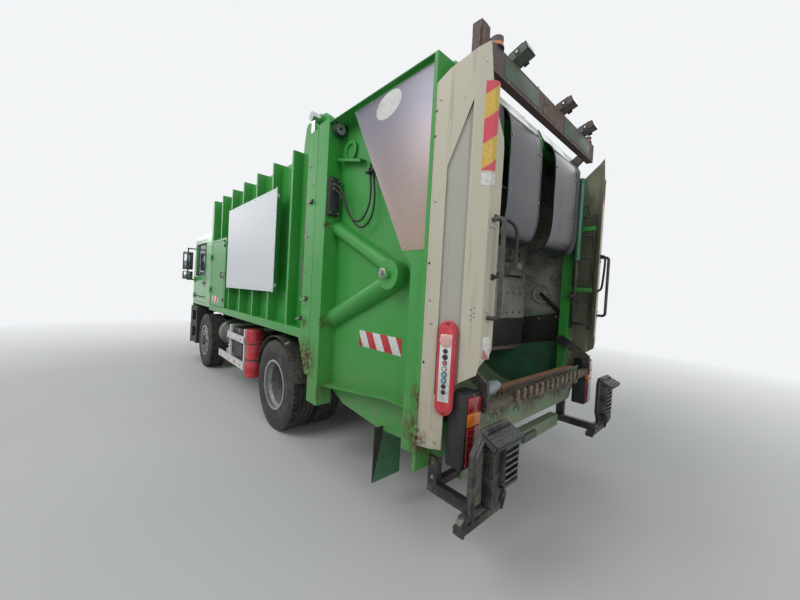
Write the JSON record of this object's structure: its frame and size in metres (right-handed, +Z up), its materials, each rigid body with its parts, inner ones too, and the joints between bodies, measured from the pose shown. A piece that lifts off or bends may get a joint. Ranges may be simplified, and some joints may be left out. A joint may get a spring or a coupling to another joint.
{
  "type": "rear-loading garbage truck",
  "caption": "Two-axle rear-loading garbage truck with a ribbed load body, a hinged tailgate with hopper, packer and bin lift, folding rear steps and a tilting cab.",
  "frame": {"origin": "on the ground, under the middle of the whole truck", "axes": "+X to the truck's left, +Y to its rear (the front faces -Y), +Z up"},
  "size_m": [2.85, 8.12, 3.6248],
  "materials": {
    "body_green": "gloss",
    "cab_green": "gloss",
    "cover_cream": "satin",
    "sign_grey": "satin",
    "frame_black": "satin",
    "guard_black": "matte",
    "engine_iron": "rough",
    "axle_iron": "rough",
    "tyre": "matte",
    "rim_grey": "satin",
    "glass": "gloss",
    "trim_black": "matte",
    "dash_grey": "matte",
    "seat_cloth": "matte",
    "signal_red": "gloss",
    "lamp_lens": "gloss",
    "step_steel": "satin",
    "worn_steel": "rough",
    "rod_chrome": "polished"
  },
  "bodies": {
    "chassis": {"chassis_frame": "frame_black", "engine_block": "engine_iron", "front_axle": "axle_iron", "rear_axle": "axle_iron", "leaf_springs": "axle_iron", "side_tanks": "frame_black", "side_guards": "rim_grey", "extinguisher_box": "signal_red", "rear_mudguards": "trim_black", "front_bumper": "cab_green", "body_floor": "body_green", "body_sides": "body_green", "body_roof": "body_green", "body_front_wall": "body_green", "body_rear_frame": "body_green", "sign_panels": "sign_grey"},
    "steer_left": {"knuckle_left": "axle_iron"},
    "steer_right": {"knuckle_right": "axle_iron"},
    "track_rod": {"track_rod": "axle_iron"},
    "wheel_front_left": {"tyre_front_left": "tyre", "rim_front_left": "rim_grey"},
    "wheel_front_right": {"tyre_front_right": "tyre", "rim_front_right": "rim_grey"},
    "wheel_rear_left": {"tyres_rear_left": "tyre", "rims_rear_left": "rim_grey"},
    "wheel_rear_right": {"tyres_rear_right": "tyre", "rims_rear_right": "rim_grey"},
    "service_door": {"service_door": "body_green"},
    "cab": {"cab_floor": "cab_green", "cab_shell": "cab_green", "cab_roof": "cab_green", "cab_front": "cab_green", "cab_glass": "glass", "seats": "seat_cloth", "dashboard": "dash_grey", "mirrors": "trim_black"},
    "steering_wheel": {"steering_wheel": "trim_black"},
    "door_left": {"door_left": "cab_green", "door_glass_left": "glass"},
    "door_right": {"door_right": "cab_green", "door_glass_right": "glass"},
    "tailgate": {"gate_sides": "body_green", "gate_frame": "body_green", "hopper_tub": "body_green", "side_covers": "cover_cream", "guard_bands": "guard_black", "light_bar": "frame_black", "tail_lamps": "lamp_lens", "control_box": "signal_red", "grab_handles": "step_steel", "underrun_beam": "step_steel", "hose_outer": "trim_black", "hose_inner": "trim_black"},
    "packer_carriage": {"packer_carriage": "worn_steel"},
    "packer_blade": {"packer_blade": "worn_steel"},
    "bin_lift": {"bin_lift": "worn_steel"},
    "step_left": {"step_left": "step_steel"},
    "step_right": {"step_right": "step_steel"},
    "lift_barrels": {"lift_barrels": "frame_black"},
    "lift_rods": {"lift_rods": "rod_chrome"}
  },
  "joints": [
    {"name": "steer_left", "type": "hinge", "parent": "chassis", "child": "steer_left", "pos_m": [0.835, -2.69, 0.54], "axis": [0, 0, 1], "range_deg": [-40, 40]},
    {"name": "steer_right", "type": "hinge", "parent": "chassis", "child": "steer_right", "pos_m": [-0.835, -2.69, 0.54], "axis": [0, 0, 1], "range_deg": [-40, 40]},
    {"name": "track_rod", "type": "hinge", "parent": "steer_left", "child": "track_rod", "pos_m": [0.835, -2.46, 0.42], "axis": [0, 0, 1], "range_deg": [-40, 40]},
    {"name": "wheel_front_left", "type": "hinge", "parent": "steer_left", "child": "wheel_front_left", "pos_m": [1.045, -2.69, 0.54], "axis": [1, 0, 0], "continuous": true},
    {"name": "wheel_front_right", "type": "hinge", "parent": "steer_right", "child": "wheel_front_right", "pos_m": [-1.045, -2.69, 0.54], "axis": [1, 0, 0], "continuous": true},
    {"name": "wheel_rear_left", "type": "hinge", "parent": "chassis", "child": "wheel_rear_left", "pos_m": [0.907, 1.03, 0.54], "axis": [1, 0, 0], "continuous": true},
    {"name": "wheel_rear_right", "type": "hinge", "parent": "chassis", "child": "wheel_rear_right", "pos_m": [-0.907, 1.03, 0.54], "axis": [1, 0, 0], "continuous": true},
    {"name": "service_door", "type": "hinge", "parent": "chassis", "child": "service_door", "pos_m": [1.268, -2.088, 1.9], "axis": [0, 0, -1], "range_deg": [0, 100]},
    {"name": "cab_tilt", "type": "hinge", "parent": "chassis", "child": "cab", "pos_m": [0, -3.95, 0.985], "axis": [1, 0, 0], "range_deg": [0, 55]},
    {"name": "steering_wheel", "type": "hinge", "parent": "cab", "child": "steering_wheel", "pos_m": [0.69, -3.5, 1.85], "axis": [0, 0.5299, 0.848], "range_deg": [-645, 645]},
    {"name": "door_left", "type": "hinge", "parent": "cab", "child": "door_left", "pos_m": [1.198, -3.879, 1.6], "axis": [0, 0, -1], "range_deg": [0, 75]},
    {"name": "door_right", "type": "hinge", "parent": "cab", "child": "door_right", "pos_m": [-1.198, -3.879, 1.6], "axis": [0, 0, 1], "range_deg": [0, 75]},
    {"name": "tailgate", "type": "hinge", "parent": "chassis", "child": "tailgate", "pos_m": [0, 1.45, 3.52], "axis": [1, 0, 0], "range_deg": [0, 80]},
    {"name": "lift_barrels", "type": "hinge", "parent": "chassis", "child": "lift_barrels", "pos_m": [0, 1.63, 1.62], "axis": [1, 0, 0], "range_deg": [0, 6]},
    {"name": "lift_rods", "type": "slide", "parent": "lift_barrels", "child": "lift_rods", "axis": [0, 0.018, 0.9998], "range_m": [0, 0.19]},
    {"name": "packer_carriage", "type": "slide", "parent": "tailgate", "child": "packer_carriage", "axis": [0, 0, -1], "range_m": [0, 0.45]},
    {"name": "packer_blade", "type": "hinge", "parent": "packer_carriage", "child": "packer_blade", "pos_m": [0, 3, 1.95], "axis": [-1, 0, 0], "range_deg": [-50, 40]},
    {"name": "bin_lift", "type": "hinge", "parent": "tailgate", "child": "bin_lift", "pos_m": [0, 3.51015, 1.33], "axis": [1, 0, 0], "range_deg": [0, 115]},
    {"name": "step_left", "type": "hinge", "parent": "tailgate", "child": "step_left", "pos_m": [1.09, 3.905, 0.5], "axis": [-1, 0, 0], "range_deg": [0, 90]},
    {"name": "step_right", "type": "hinge", "parent": "tailgate", "child": "step_right", "pos_m": [-1.09, 3.905, 0.5], "axis": [-1, 0, 0], "range_deg": [0, 90]}
  ],
  "couplings": [
    {"joint": "steer_right", "follows": "steer_left", "ratio": 1},
    {"joint": "track_rod", "follows": "steer_left", "ratio": -1},
    {"joint": "steering_wheel", "follows": "steer_left", "ratio": 16},
    {"joint": "lift_barrels", "follows": "tailgate", "ratio": 0.0744},
    {"joint": "lift_rods", "follows": "tailgate", "m_per_rad": 0.13357}
  ]
}
